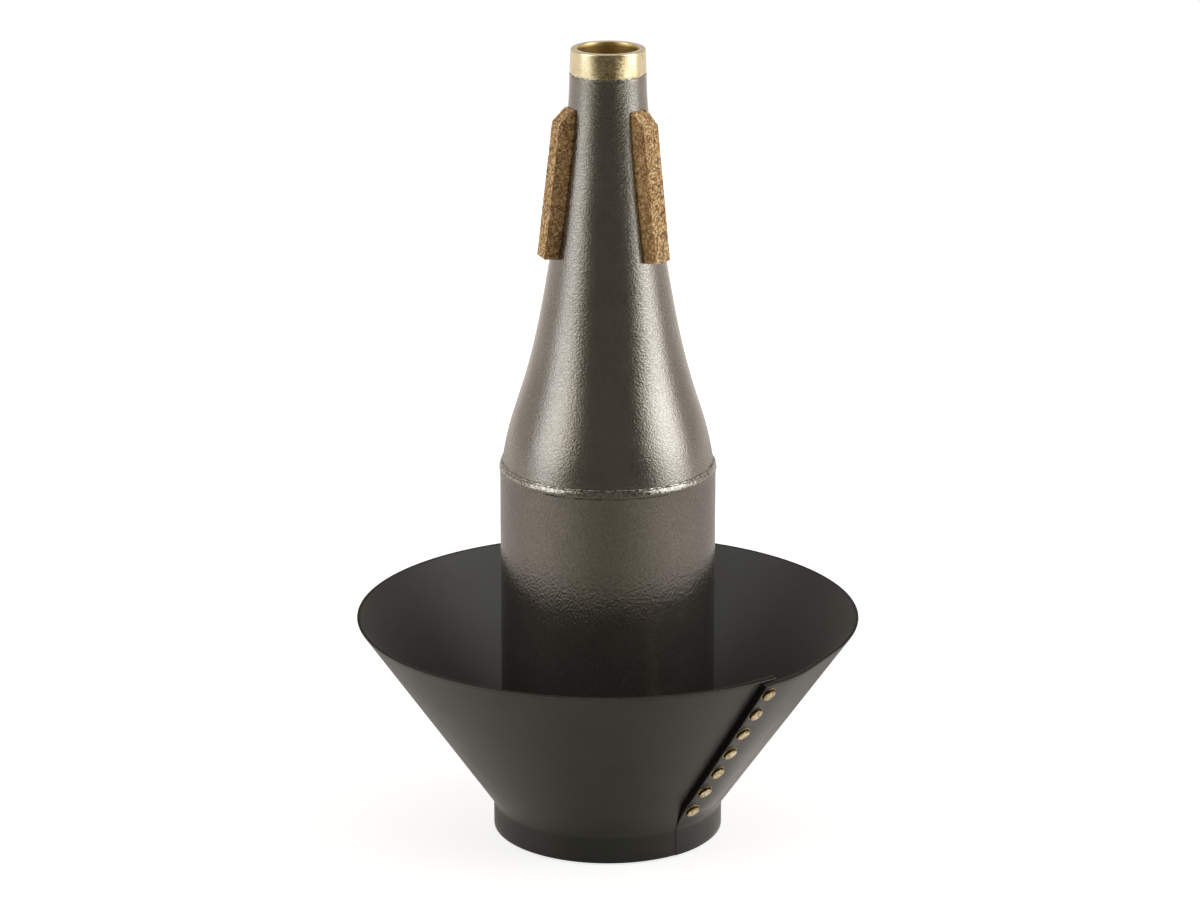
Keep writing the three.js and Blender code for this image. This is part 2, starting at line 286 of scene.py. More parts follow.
def turned(profile, steps):
    """A closed body from a profile of radii and heights, turned round the Z axis.

    A profile that starts on the axis ends there too. Any other is closed first."""
    bm = bmesh.new()
    verts = [bm.verts.new((radius * MM, 0, height * MM)) for radius, height in profile]
    edges = [bm.edges.new(pair) for pair in zip(verts, verts[1:])]
    if profile[0][0] > 0:
        edges.append(bm.edges.new((verts[-1], verts[0])))
    bmesh.ops.spin(
        bm,
        geom=verts + edges,
        cent=(0, 0, 0),
        axis=(0, 0, 1),
        angle=2 * math.pi,
        steps=steps,
        use_merge=True,
    )
    bmesh.ops.remove_doubles(bm, verts=bm.verts, dist=1e-7)
    bmesh.ops.recalc_face_normals(bm, faces=bm.faces)
    return bm


def blank(columns, rows):
    """A closed sheet of a number of cells, one unit wide, deep and thick, with its top at height 0."""
    bm = bmesh.new()
    bmesh.ops.create_grid(bm, x_segments=columns, y_segments=rows, size=0.5)
    copied = bmesh.ops.extrude_face_region(bm, geom=bm.faces[:], use_keep_orig=True)
    under = [item for item in copied["geom"] if isinstance(item, bmesh.types.BMVert)]
    bmesh.ops.translate(bm, vec=(0, 0, -1), verts=under)
    return bm


def push(bm, depth_at):
    """Moves each vertex along its normal by a depth in metres, which is worked out from its place."""
    bm.normal_update()
    moves = [vert.normal * depth_at(vert.co) for vert in bm.verts]
    for vert, move in zip(bm.verts, moves):
        vert.co += move


def roughen(bm, depth, size, seed, limit=None):
    """Pushes vertices by a smooth noise of a depth and grain size in millimetres.

    The limit gives the share of the depth at a place."""
    shift = Vector((seed * 7.3, seed * 3.1, seed * 5.7))

    def depth_at(co):
        share = 1 if limit is None else limit(co)
        return depth * share * MM * noise.noise(co / (size * MM) + shift)

    push(bm, depth_at)


def zone(low, high):
    """A limit for roughen: all of the depth between two heights, and nothing outside them."""
    return lambda co: float(low < co.z / MM < high)


def linked(name, bm):
    """A new object in the scene, made of a mesh that isn't needed any more."""
    mesh = bpy.data.meshes.new(name)
    bm.to_mesh(mesh)
    bm.free()
    made = bpy.data.objects.new(name, mesh)
    bpy.context.scene.collection.objects.link(made)
    return made


def finished(name, bm, materials, body, nodes=()):
    """Makes a piece of a mesh, on a body and in place of CAD nodes."""
    bmesh.ops.recalc_face_normals(bm, faces=bm.faces)
    for face in bm.faces:
        face.smooth = True
    made = linked(name, bm)
    made.data.set_sharp_from_angle(angle=SHARP_ANGLE)
    for material in materials:
        made.data.materials.append(material)
    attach(made, body)
    if nodes:
        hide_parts(*nodes)


# Materials

class Wire:
    """An output socket in a node tree, with which sums can be written."""

    def __init__(self, tree, socket=None):
        self.tree = tree
        self.socket = socket

    def add(self, kind, settings=None, inputs=None, output=0):
        """Adds a node: its settings first, then the values or wires of its inputs."""
        node = self.tree.nodes.new(kind)
        for name, value in (settings or {}).items():
            if name == "stops":
                ramp = node.color_ramp
                while len(ramp.elements) < len(value):
                    ramp.elements.new(1)
                for element, (position, colour) in zip(ramp.elements, value):
                    element.position = position
                    element.color = (*colour, 1)
            else:
                setattr(node, name, value)
        for name, value in (inputs or {}).items():
            if isinstance(value, Wire):
                self.tree.links.new(value.socket, node.inputs[name])
            else:
                node.inputs[name].default_value = value
        return Wire(self.tree, node.outputs[output])

    def pick(self, name):
        """Another output of the same node."""
        return Wire(self.tree, self.socket.node.outputs[name])

    def into(self, node, name):
        """Leads this wire to a node's input."""
        self.tree.links.new(self.socket, node.inputs[name])

    def maths(self, operation, *others):
        """A Math node's operation on this value, and on others where it takes more than one."""
        return self.add("ShaderNodeMath", {"operation": operation}, dict(enumerate((self, *others))))

    def __add__(self, other):
        return self.maths("ADD", other)

    def __sub__(self, other):
        return self.maths("SUBTRACT", other)

    def __rsub__(self, other):
        return self.add("ShaderNodeMath", {"operation": "SUBTRACT"}, {0: other, 1: self})

    def __mul__(self, other):
        return self.maths("MULTIPLY", other)

    __radd__ = __add__
    __rmul__ = __mul__

    def split(self):
        """The X, Y and Z of this vector."""
        parts = self.add("ShaderNodeSeparateXYZ", None, {"Vector": self})
        return parts, parts.pick("Y"), parts.pick("Z")

    def scaled(self, x, y, z):
        """This vector with its axes scaled. A pattern is drawn out where a scale is under 1."""
        return self.add("ShaderNodeMapping", None, {"Vector": self, "Scale": (x, y, z)})

    def step(self, start, stop, low=0.0, high=1.0, kind="SMOOTHSTEP"):
        """Goes from low to high as this value goes from start to stop."""
        return self.add(
            "ShaderNodeMapRange",
            {"interpolation_type": kind},
            {"Value": self, "From Min": start, "From Max": stop, "To Min": low, "To Max": high},
        )

    def blend(self, first, second):
        """A colour between two colours, with this value as the share of the second."""
        inputs = {0: self}
        for socket, colour in ((6, first), (7, second)):
            inputs[socket] = colour if isinstance(colour, Wire) else (*colour, 1)
        return self.add("ShaderNodeMix", {"data_type": "RGBA"}, inputs, 2)

    def noise(self, size, detail=2.0, roughness=0.5, distortion=0.0):
        """Noise with a grain size in millimetres, on this vector."""
        return self.add(
            "ShaderNodeTexNoise",
            None,
            {
                "Vector": self,
                "Scale": 1 / (size * MM),
                "Detail": detail,
                "Roughness": roughness,
                "Distortion": distortion,
            },
        )

    def cells(self, size, feature, output=0, **inputs):
        """Cells of a size in millimetres, on this vector."""
        return self.add(
            "ShaderNodeTexVoronoi",
            {"feature": feature},
            {"Vector": self, "Scale": 1 / (size * MM), **inputs},
            output,
        )

    def bump(self, depth, below=None):
        """A normal from this height, whose full range is a depth in millimetres."""
        inputs = {"Height": self, "Strength": 1.0, "Distance": depth * MM}
        if below is not None:
            inputs["Normal"] = below
        return self.add("ShaderNodeBump", None, inputs)


def surface(name, uniform):
    """A new material, its shader with the values that are the same all over, and Object coordinates."""
    material = bpy.data.materials.new(name)
    material.use_nodes = True
    shader = material.node_tree.nodes["Principled BSDF"]
    for socket, value in uniform.items():
        shader.inputs[socket].default_value = value
    where = Wire(material.node_tree).add("ShaderNodeTexCoord", output="Object")
    return material, shader, where


def lacquer(name, metal, gloss, size, stretch, depth):
    """Dark hammered lacquer over metal: broken grain under a gloss, drawn out upwards by the stretch."""
    material, shader, where = surface(name, {"Metallic": metal, "Specular IOR Level": 0.5})
    drawn = where.scaled(1, 1, 1 / stretch)
    fine = drawn.noise(0.62 * size, 1.5, 0.6, 0.4)
    hammered = drawn.cells(0.95 * size, "SMOOTH_F1", Smoothness=0.25)
    patches = where.noise(14, 3.0, 0.6)
    height = fine * 0.6 + hammered * 0.4
    height.bump(depth).into(shader, "Normal")
    tone = fine.step(0.36, 0.64) * 0.8 + patches.step(0.3, 0.7) * 0.2
    tone.blend((0.238, 0.226, 0.201), (0.338, 0.324, 0.294)).into(shader, "Base Color")
    dullness = patches.step(0.3, 0.7, gloss, gloss + 0.04) + fine.step(0.3, 0.7, 0.05, 0)
    dullness.into(shader, "Roughness")
    return material


def lacquer_run():
    """Lacquer that has gathered in a corner and set in glossy beads."""
    material, shader, where = surface("gathered_lacquer", {"Metallic": 0.95})
    beads = where.noise(0.9, 2.0, 0.55, 0.8)
    pearls = where.cells(1.3, "SMOOTH_F1", Smoothness=0.4)
    height = beads * 0.6 + pearls * 0.4
    height.bump(0.17).into(shader, "Normal")
    beads.step(0.35, 0.65).blend((0.21, 0.198, 0.176), (0.52, 0.50, 0.46)).into(shader, "Base Color")
    beads.step(0.3, 0.7, 0.08, 0.15).into(shader, "Roughness")
    return material


def polished_brass():
    """Turned and polished brass: faint turning marks, brown tarnish in spots, a dull brown bore.

    At the front the spots are browner: a painted dark reflection of the room.
    """
    material, shader, where = surface("polished_brass", {"Metallic": 1.0})
    marks = where.scaled(0.08, 0.08, 1.0).noise(0.16, 2.0, 0.6)
    spots = where.noise(1.3, 4.0, 0.65, 0.8)
    clouds = where.noise(5, 3.0, 0.6, 0.6)
    x, y = where.split()[:2]
    bore = (x * x + y * y).step((BORE_OUTER * MM) ** 2, (BORE_INNER * MM) ** 2)
    # Painted dark reflection: the front of the ferrule is browned in spots, as if it mirrored the dark
    # room.
    front_painted_reflection = y.step(-PAINTED_REFLECTION_START * MM, -PAINTED_REFLECTION_FULL * MM)
    tarnish_and_painted_reflection = spots.step(0.44, 0.61) * (clouds.step(0.42, 0.60) * 0.25 + front_painted_reflection * 0.7) * (1 - bore)
    pale = marks.step(0.3, 0.7).blend((0.86, 0.74, 0.46), (0.94, 0.85, 0.60))
    warm = (clouds.step(0.48, 0.70) * 0.3).blend(pale, (0.74, 0.57, 0.28))
    tarnish_and_reflection_colour = tarnish_and_painted_reflection.blend(warm, (0.37, 0.225, 0.065))
    bore.blend(tarnish_and_reflection_colour, (0.58, 0.42, 0.16)).into(shader, "Base Color")
    dullness = marks.step(0.3, 0.7, 0.09, 0.15) + tarnish_and_painted_reflection * 0.2 + bore * 0.3
    dullness.into(shader, "Roughness")
    height = marks * 0.3 + clouds * 0.7
    height.bump(0.045).into(shader, "Normal")
    return material


def rivet_brass():
    """Brass of the rivets: tumbled and softly scratched, browner towards the head's edge, with a
    painted shade in a near-black ring round the head's wall.

    The attribute gives the distance from the rivet's axis, where 1 is the head's wall."""
    material, shader, where = surface("rivet_brass", {"Metallic": 1.0})
    scratches = where.noise(0.85, 3.0, 0.75, 1.6)
    clouds = where.noise(1.9, 2.0, 0.5)
    reach = where.add("ShaderNodeAttribute", {"attribute_name": "reach"}, None, "Fac")
    pale = clouds.step(0.40, 0.58).blend((0.62, 0.50, 0.24), (1.0, 0.94, 0.68))
    scratched = scratches.step(0.50, 0.58).blend(pale, (0.36, 0.22, 0.075))
    browned = (reach.step(0.7, 1.0) * 0.4).blend(scratched, (0.36, 0.22, 0.08))
    # Painted shade: a near-black ring in the crease round the head's wall.
    painted_wall_shade = reach.step(0.97, 0.995) * reach.step(1.12, 1.08)
    painted_wall_shade.blend(browned, (0.045, 0.028, 0.012)).into(shader, "Base Color")
    dullness = scratches.step(0.3, 0.7, 0.14, 0.28) + painted_wall_shade * 0.25
    dullness.into(shader, "Roughness")
    height = scratches * 0.4 + clouds * 0.6
    height.bump(0.16).into(shader, "Normal")
    return material


def cork(name, light, speckle, stretch):
    """Pressed cork: granules of about a millimetre, with a share of pale flecks and dark pores.

    The knife draws the granules out along the cork's sides, where the stretch is more than 1."""
    material, shader, where = surface(name, {"Specular IOR Level": 0.25})
    drawn = where.scaled(1, 1, 1 / stretch)
    bent = drawn.noise(1.2, 2.0, 0.6)
    granules = drawn.cells(CORK_GRANULE, "F1", "Color")
    shade = granules.add("ShaderNodeSeparateColor", None, {"Color": granules})
    seams = drawn.cells(CORK_GRANULE, "DISTANCE_TO_EDGE")
    flecks = where.noise(0.8, 2.0, 0.65, 0.5)
    pores = drawn.noise(0.85, 2.0, 0.6, 0.8)
    tone = (shade - 0.5) * (0.25 + 0.45 * speckle) + (bent - 0.5) * (0.3 + 0.3 * speckle) + 0.5
    stops = [
        (0.12, (0.200, 0.088, 0.028)),
        (0.38, (0.420, 0.215, 0.072)),
        (0.62, (0.640, 0.370, 0.140)),
        (0.90, (0.900, 0.620, 0.300)),
    ]
    shaded = [(at, tuple(value * light for value in colour)) for at, colour in stops]
    browns = tone.add("ShaderNodeValToRGB", {"stops": shaded}, {"Fac": tone})
    flecked = (flecks.step(0.53, 0.60) * (0.95 * speckle)).blend(browns, (1.0, 0.84, 0.54))
    joints = seams.step(0.10, 0.0) * (0.25 + 0.35 * speckle)
    seamed = joints.blend(flecked, (0.13, 0.055, 0.02))
    dark = pores.step(0.60, 0.66) * (0.3 + 0.6 * speckle)
    dark.blend(seamed, (0.055, 0.023, 0.009)).into(shader, "Base Color")
    (0.7 + flecks * 0.2).into(shader, "Roughness")
    height = seams.step(0.0, 0.25) * 0.3 + flecks * 0.4 + pores.step(0.68, 0.56) * 0.5
    height.bump(0.12 + 0.18 * speckle).into(shader, "Normal")
    return material


def cone_place(where):
    """A place on the cup: its distance from the axis and its way up the cone, in millimetres."""
    x, y, z = where.split()
    reach = (x * x + y * y).maths("SQRT") * (1 / MM)
    way = (z * (1 / MM) - COLLAR_HEIGHT) * (1 / math.cos(CONE_ANGLE))
    return reach, way


def faces_up(where, low, high):
    """How far the surface faces up, as a share from a low to a high Z of its normal."""
    return where.pick("Normal").split()[2].step(low, high)


def fibre():
    """Black vulcanised fibre sheet: satin, faintly clouded, with fine calender grain.

    A dark stripe beside the seam's upper flap is a painted shadow. The collar is darker: a painted
    shade under the cone."""
    material, shader, where = surface("cup_fibre", {"Specular IOR Level": 0.45})
    grain = where.noise(0.5, 3.0, 0.6)
    clouds = where.noise(22, 4.0, 0.6)
    scuffs = where.noise(3.5, 5.0, 0.7, 1.5)
    plain = clouds.step(0.3, 0.7).blend((0.044, 0.0455, 0.0385), (0.055, 0.056, 0.048))
    scuffed = (scuffs.step(0.60, 0.80) * 0.5).blend(plain, (0.074, 0.070, 0.062))
    x, y = where.split()[:2]
    azimuth = x.maths("ARCTAN2", y * -1)
    reach, way = cone_place(where)
    trim = way.step(TRIM_TOP, TRIM_TOP - TRIM_RUN, 0.0, 1.0, "LINEAR")
    edge = trim * (COLLAR_FLAP_EDGE + FLAP_MARGIN) - FLAP_MARGIN
    left = edge - (azimuth - SEAM) * reach - RIVET_LINE
    spread = way.step(0, SHADOW_RUN, SHADOW_FOOT_WIDTH, SHADOW_WIDTH)
    # Painted shade: the collar, under the cone, is darkened.
    collar = way.step(0.5, -2.0) * COLLAR_PAINTED_SHADE
    outside = faces_up(where, 0.15, -0.15)
    # Painted shadow: a near-black stripe on the lower sheet along the upper flap's edge.
    painted_shadow = left.step(spread, spread * 0.6) * left.step(-0.25, -0.05) * outside * way.step(-1, 2)
    shaded = collar.blend(scuffed, (0.012, 0.012, 0.0105))
    painted_shadow.blend(shaded, (0.005, 0.005, 0.0045)).into(shader, "Base Color")
    satin = clouds.step(0.3, 0.7, 0.31, 0.38) + scuffs.step(0.5, 0.8, 0, 0.1)
    (satin + painted_shadow * 0.35 + outside.step(0, 1, 0.14, 0)).into(shader, "Roughness")
    below = clouds.bump(0.12)
    grain.bump(0.014, below).into(shader, "Normal")
    return material


def cut_edge():
    """The sheet's cut edge, matt: brown-black with worn corners at the rim, and near black where it
    faces sideways at the seam, edge dye with a painted shade.
    """
    material, shader, where = surface("cut_edge", {"Specular IOR Level": 0.2})
    threads = where.noise(0.3, 3.0, 0.7).step(0.35, 0.7)
    reach, way = cone_place(where)
    outwards = (reach - COLLAR_RADIUS - way * math.sin(CONE_ANGLE)) * math.cos(CONE_ANGLE)
    corner = (outwards + CUP_SHEET / 2).maths("ABSOLUTE").step(0.3, 0.75)
    dyed_and_painted_shade = threads.blend((0.004, 0.004, 0.0035), (0.011, 0.0105, 0.009))
    brown = threads.blend((0.016, 0.013, 0.010), (0.036, 0.030, 0.024))
    worn = (corner * 0.4).blend(brown, (0.044, 0.043, 0.037))
    # Faces that don't face up are near black: edge dye with a painted shade.
    faces_up(where, 0.3, 0.6).blend(dyed_and_painted_shade, worn).into(shader, "Base Color")
    threads.step(0, 1, 0.7, 0.9).into(shader, "Roughness")
    threads.bump(0.05).into(shader, "Normal")
    return material


def rubbed_edge():
    """The arris of the cut edge, rubbed smooth and paler by hands."""
    material, shader, where = surface("rubbed_edge", {"Specular IOR Level": 0.6})
    wear = where.noise(2.2, 4.0, 0.7, 1.0)
    tone = wear.step(0.3, 0.7)
    tone.blend((0.022, 0.021, 0.018), (0.070, 0.066, 0.058)).into(shader, "Base Color")
    wear.step(0.3, 0.7, 0.34, 0.5).into(shader, "Roughness")
    wear.bump(0.03).into(shader, "Normal")
    return material


def felt():
    """Dark felt of the lining."""
    material, shader, where = surface("lining_felt", {"Specular IOR Level": 0.1, "Sheen Weight": 0.4})
    fibres = where.noise(0.22, 4.0, 0.75, 1.5)
    lint = where.noise(1.8, 3.0, 0.6)
    tone = (fibres * 0.6 + lint * 0.4).step(0.35, 0.65)
    tone.blend((0.014, 0.012, 0.010), (0.045, 0.038, 0.032)).into(shader, "Base Color")
    (fibres * 0.1 + 0.88).into(shader, "Roughness")
    fibres.bump(0.15).into(shader, "Normal")
    return material


# Body

def shell_outline(ogee_steps, taper_steps):
    """The shell's outside from shoulder to neck: two curves that meet at the waist."""
    shoulder = Vector((SHOULDER_RADIUS, SHOULDER_Z))
    waist = Vector((WAIST_RADIUS, WAIST_Z))
    neck = Vector((NECK_RADIUS, NECK_Z))
    waist_way = Vector((-WAIST_SLOPE, 1)).normalized()
    shoulder_way = Vector((-SHOULDER_SLOPE, 1)).normalized()
    ogee = geometry.interpolate_bezier(
        shoulder,
        shoulder + shoulder_way * SHOULDER_HANDLE * OGEE_LENGTH,
        waist - waist_way * WAIST_LOWER_HANDLE * OGEE_LENGTH,
        waist,
        ogee_steps + 1,
    )
    taper = geometry.interpolate_bezier(
        waist,
        waist + waist_way * WAIST_UPPER_HANDLE * NECK_LENGTH,
        Vector((NECK_RADIUS, NECK_Z - NECK_HANDLE * NECK_LENGTH)),
        neck,
        taper_steps + 1,
    )
    return [tuple(point) for point in ogee + taper[1:]]


def inwards(outline, distance):
    """An outline moved square to itself, inwards."""
    moved = []
    for i, point in enumerate(outline):
        before = Vector(outline[max(i - 1, 0)])
        after = Vector(outline[min(i + 1, len(outline) - 1)])
        along = (after - before).normalized()
        moved.append((point[0] - along.y * distance, point[1] + along.x * distance))
    return moved


FINE_OUTLINE = shell_outline(60, 60)


def shell_radius(height):
    """The shell's outer radius at a height."""
    for low, high in zip(FINE_OUTLINE, FINE_OUTLINE[1:]):
        if height <= high[1]:
            return between(low[0], high[0], (height - low[1]) / (high[1] - low[1]))
    return FINE_OUTLINE[-1][0]


def cone_shell(material):
    """The shell, with the skirt in the barrel and the spigot in the ferrule."""
    outside = shell_outline(26, 34)
    inside = [p for p in inwards(outside, SHELL_WALL) if SHOULDER_Z + 1 < p[1] < NECK_Z - 2]
    neck = NECK_ROUND
    spigot_top = FERRULE_TOP_Z - FERRULE_CROWN - CLEARANCE
    skirt_foot = SHOULDER_Z - SKIRT_LENGTH
    profile = [
        (SKIRT_RADIUS, skirt_foot),
        (SKIRT_RADIUS, SHOULDER_Z - 1),
        (SKIRT_RADIUS, SHOULDER_Z - 0.2),
        *outside[:-1],
        *arc((NECK_RADIUS - neck, NECK_Z - neck), (neck, neck), 0, 90, 4),
        (SPIGOT_RADIUS, NECK_Z),
        (SPIGOT_RADIUS, spigot_top),
        (SPIGOT_RADIUS - SHELL_WALL, spigot_top),
        (SPIGOT_RADIUS - SHELL_WALL, NECK_Z - 1),
        *reversed(inside),
        (SKIRT_RADIUS - SHELL_WALL, SHOULDER_Z),
        (SKIRT_RADIUS - SHELL_WALL, skirt_foot),
    ]
    bm = turned(profile, steps=180)

    def above_shoulder(co):
        return smooth((co.z / MM - SHOULDER_Z) / SHELL_FADE)

    roughen(bm, depth=0.06, size=13, seed=1, limit=above_shoulder)
    finished("shell", bm, [material], "mute_body", ["cone_shell"])


def barrel_sleeve(material, bead_material):
    """The barrel, whose top edge swells into a bead that has gathered lacquer."""
    foot = BARREL_FOOT_ROUND
    bore = BARREL_RADIUS - BARREL_WALL
    bead_foot = BARREL_HEIGHT - BEAD_HEIGHT
    bead_radius = BARREL_RADIUS + BEAD_RISE
    bead_span = (BEAD_DEPTH, BEAD_HEIGHT - BEAD_ROUND)
    profile = [
        *arc((BARREL_RADIUS - foot, foot), (foot, foot), -90, 0, 3),
        *line((BARREL_RADIUS, 2), (BARREL_RADIUS, bead_foot), BARREL_ROWS),
        (BARREL_RADIUS, bead_foot),
        (BARREL_RADIUS + BEAD_EASE, bead_foot + BEAD_START),
        (bead_radius - BEAD_EASE, bead_foot + BEAD_FULL),
        *arc((bead_radius - BEAD_DEPTH, bead_foot + BEAD_ROUND), bead_span, 0, 90, 10),
        (bore, BARREL_HEIGHT),
        (bore, 0),
    ]
    bm = turned(profile, steps=200)
    side = zone(1, BARREL_HEIGHT - 4)
    bead = zone(BARREL_HEIGHT - 2.9, BARREL_HEIGHT - 0.05)
    roughen(bm, depth=0.06, size=10, seed=2, limit=side)
    roughen(bm, depth=0.1, size=2.6, seed=3, limit=bead)
    for face in bm.faces:
        height = face.calc_center_median().z / MM
        face.material_index = int(height > BARREL_HEIGHT - BEAD_RUN)
    finished("barrel", bm, [material, bead_material], "mute_body", ["barrel_sleeve"])


def base_cap(material):
    """The cap in the barrel's foot. Its groove is pressed upwards."""
    radius = BARREL_RADIUS - BARREL_WALL - CAP_AIR
    inside = radius - CAP_SHEET
    groove = CAP_GROOVE_RADIUS
    half = CAP_GROOVE_WIDTH / 2
    depth = CAP_GROOVE_DEPTH
    bend = CAP_GROOVE_ROUND
    upper = [
        (inside - (CAP_BEND - CAP_SHEET), CAP_SHEET),
        (groove + half, CAP_SHEET),
        (groove + half / 2, CAP_SHEET + depth),
        (groove - half / 2, CAP_SHEET + depth),
        (groove - half, CAP_SHEET),
        (0, CAP_SHEET),
    ]
    profile = [
        (0, 0),
        *line((3, 0), (groove - half - 1, 0), 5),
        *arc((groove - half, bend), (bend, bend), 270, 315, 3),
        *arc((groove, depth - bend), (bend, bend), 135, 45, 4),
        *arc((groove + half, bend), (bend, bend), 225, 270, 3),
        *arc((radius - CAP_BEND, CAP_BEND), (CAP_BEND, CAP_BEND), -90, 0, 6),
        (radius, CAP_FLANGE),
        (inside, CAP_FLANGE),
        (inside, CAP_BEND),
        *upper,
    ]
    bm = turned(profile, steps=120)
    finished("foot_cap", bm, [material], "mute_body", ["base_cap"])


def throat_ferrule(material):
    """The ferrule: a band outside, a rounded lip, and a sleeve down into the neck."""
    foot = FERRULE_FOOT_ROUND
    outer = FERRULE_OUTER_ROUND
    inner = FERRULE_INNER_ROUND
    drop = FERRULE_INNER_DROP
    throat = FERRULE_SLEEVE_RADIUS - FERRULE_SHEET
    crown = FERRULE_TOP_Z - FERRULE_CROWN
    sleeve_foot = FERRULE_TOP_Z - FERRULE_SLEEVE
    profile = [
        *arc((FERRULE_FOOT_RADIUS - foot, FERRULE_FOOT_Z + foot), (foot, foot), -90, 0, 3),
        *line((FERRULE_FOOT_RADIUS, FERRULE_FOOT_Z + 1), (FERRULE_TOP_RADIUS, FERRULE_TOP_Z - outer), 6),
        *arc((FERRULE_TOP_RADIUS - outer, FERRULE_TOP_Z - outer), (outer, outer), 0, 86, 12),
        *arc((throat + inner, FERRULE_TOP_Z - drop), (inner, drop), 94, 180, 14),
        (throat, sleeve_foot + 6),
        (throat, sleeve_foot),
        (FERRULE_SLEEVE_RADIUS, sleeve_foot),
        (FERRULE_SLEEVE_RADIUS, crown),
        (FERRULE_TOP_RADIUS - FERRULE_SHEET, crown),
        (FERRULE_TOP_RADIUS - FERRULE_SHEET, FERRULE_FOOT_Z),
    ]
    bm = turned(profile, steps=144)
    roughen(bm, depth=0.05, size=6, seed=4, limit=zone(0, FERRULE_TOP_Z - FERRULE_LIP))
    finished("ferrule", bm, [material], "mute_body", ["throat_ferrule"])


def gathered_lacquer(name, material, radius, height, span, steps, seed):
    """An uneven bead of lacquer that has gathered in a corner. Its section has ten corners."""
    bm = turned(arc((radius, height), span, 0, 324, 9), steps)
    roughen(bm, depth=0.9 * span[1], size=2.2, seed=seed)
    roughen(bm, depth=0.5 * span[1], size=7, seed=seed + 1)
    finished(name, bm, [material], "mute_body")


# Corks

def cut_block():
    """The cork's plain block: depth along +X, width across Y, length up +Z, cut into small squares."""
    size = Vector((CORK_DEPTH, CORK_WIDTH, CORK_LENGTH))
    bm = bmesh.new()
    bmesh.ops.create_cube(bm, size=1)
    bmesh.ops.scale(bm, vec=size, verts=bm.verts)
    bmesh.ops.translate(bm, vec=(size.x / 2, 0, size.z / 2), verts=bm.verts)
    bmesh.ops.bevel(
        bm,
        geom=bm.edges[:],
        offset=CORK_EDGE,
        segments=2,
        profile=0.5,
        affect="EDGES",
        material=-1,
    )
    starts = ((Vector((1, 0, 0)), 0), (Vector((0, 1, 0)), -size.y / 2), (Vector((0, 0, 1)), 0))
    for way, start in starts:
        for i in range(1, round(size.dot(way) / CORK_GRID)):
            geom = bm.verts[:] + bm.edges[:] + bm.faces[:]
            point = way * (start + i * CORK_GRID)
            bmesh.ops.bisect_plane(bm, geom=geom, dist=1e-5, plane_co=point, plane_no=way)
    return bm


def cork_block(seed):
    """One cork, which leans with the shell: outwards along +X, its back on the shell, its skin rough.

    Its two sides and its foot have the second material."""
    foot = CORK_TOP_Z - CORK_LENGTH
    foot_radius = shell_radius(foot) + CORK_DEPTH
    top_radius = shell_radius(CORK_TOP_Z) + CORK_DEPTH
    tip_radius = shell_radius(CORK_TOP_Z) + CORK_LIP
    chamfer = CORK_LENGTH - CORK_CHAMFER
    corner_radius = between(foot_radius, top_radius, chamfer / CORK_LENGTH)
    lean = (foot_radius - top_radius) / CORK_LENGTH
    bm = cut_block()
    bm.normal_update()
    for face in bm.faces:
        face.material_index = int(abs(face.normal.y) > 0.9 or face.normal.z < -0.9)
    for vert in bm.verts:
        out, across, up = vert.co
        height = foot + up + lean * out * (1 - up / CORK_LENGTH)
        seat = math.sqrt(shell_radius(height) ** 2 - across ** 2) - CORK_SINK
        face = between(foot_radius, top_radius, (height - foot) / CORK_LENGTH)
        if up > chamfer:
            face = between(corner_radius, tip_radius, (up - chamfer) / CORK_CHAMFER)
        vert.co = Vector((between(seat, face, out / CORK_DEPTH), across, height)) * MM
    shift = Vector((seed * 11.7, seed * 4.3, seed * 8.9))

    def skin(co):
        grain = noise.noise(co / (0.9 * MM) + shift)
        chunk = noise.noise(co / (2.4 * MM) + shift)
        pore = smooth((noise.noise(co / (1.5 * MM) - shift) - 0.28) / 0.25)
        return (CORK_GRAIN_DEPTH * grain + CORK_CHUNK_DEPTH * chunk - CORK_PORE_DEPTH * pore) * MM

    push(bm, skin)
    return bm


def corks(face_material, side_materials):
    """The three corks, each turned to its own azimuth."""
    for number, (azimuth, side_material) in enumerate(zip(CORK_AZIMUTHS, side_materials), 1):
        bm = cork_block(number)
        turn = Matrix.Rotation(math.radians(azimuth - 90), 3, "Z")
        bmesh.ops.rotate(bm, cent=(0, 0, 0), matrix=turn, verts=bm.verts)
        materials = [face_material, side_material]
        finished(f"cork_{number}", bm, materials, "mute_body", [f"cork_pad_{number}"])


# Cup

def cup_rows():
    """Rows of the sheet from foot to rim: radius, height and slope of its outside."""
    crease_z = COLLAR_HEIGHT - CREASE_BEND * math.tan(CONE_ANGLE / 2)
    rows = [(COLLAR_RADIUS, crease_z * i / COLLAR_ROWS, 0) for i in range(COLLAR_ROWS)]
    for i in range(CREASE_ROWS + 1):
        slope = CONE_ANGLE * i / CREASE_ROWS
        radius = COLLAR_RADIUS + CREASE_BEND - CREASE_BEND * math.cos(slope)
        rows.append((radius, crease_z + CREASE_BEND * math.sin(slope), slope))
    foot_radius, foot_height, slope = rows[-1]
    for i in range(1, CONE_ROWS + 1):
        share = i / CONE_ROWS
        radius = between(foot_radius, CUP_RADIUS, share)
        rows.append((radius, between(foot_height, CUP_HEIGHT, share), slope))
    return rows


